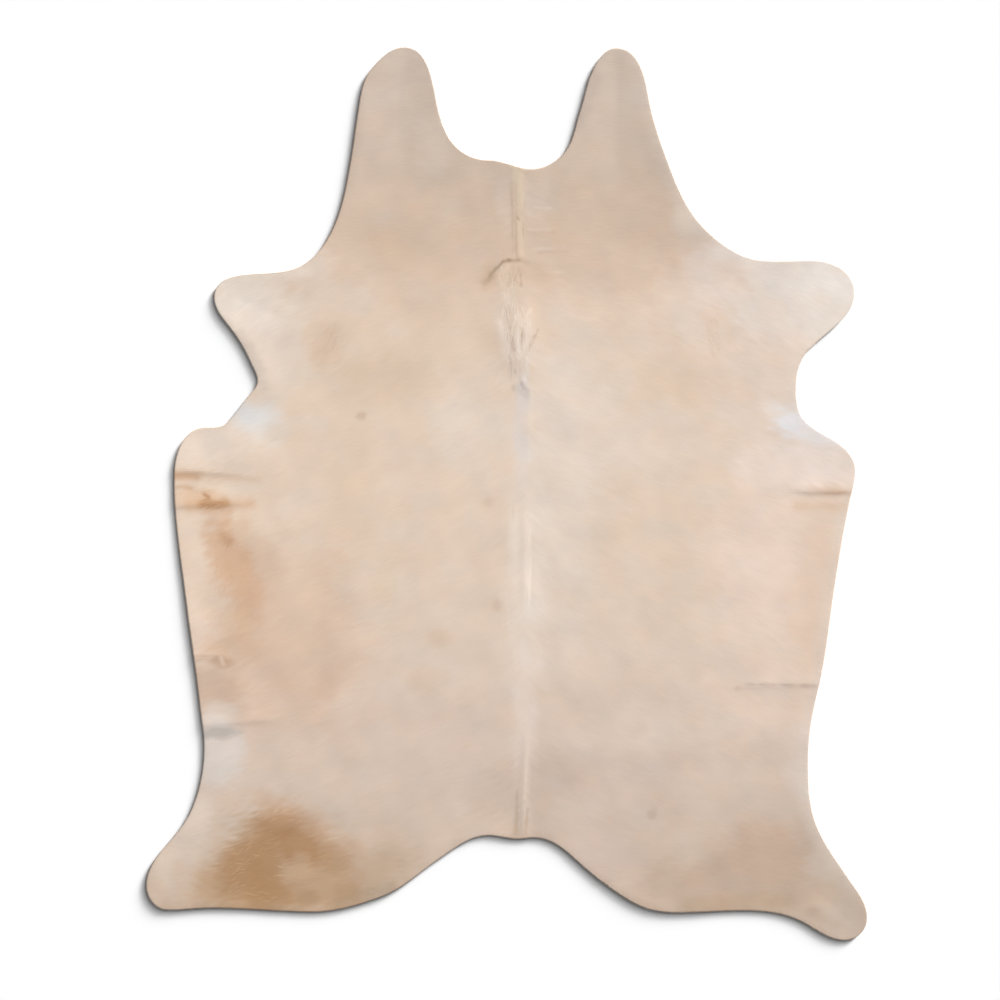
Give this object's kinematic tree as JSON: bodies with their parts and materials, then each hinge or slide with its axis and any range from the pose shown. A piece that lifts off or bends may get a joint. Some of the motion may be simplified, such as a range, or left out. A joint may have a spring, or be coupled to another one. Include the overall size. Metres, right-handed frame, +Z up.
{
  "type": "cowhide rug",
  "caption": "Whole hair-on cowhide laid flat as a rug, cream with tan markings, with leg and ear flaps, soft creases and a slightly lifted rim.",
  "frame": {"origin": "on the floor, under the middle of the hide's bounding box", "axes": "+Z up from the floor, +Y from the hind legs towards the neck, +X to the right when the neck points away"},
  "size_m": [1.8, 2.23, 0.0083],
  "materials": {
    "coat": "short flat-lying cream cattle hair with a soft sheen",
    "leather": "matt undyed suede on the underside and along the cut edge"
  },
  "bodies": {
    "root": {"cowhide": "coat"}
  },
  "joints": []
}
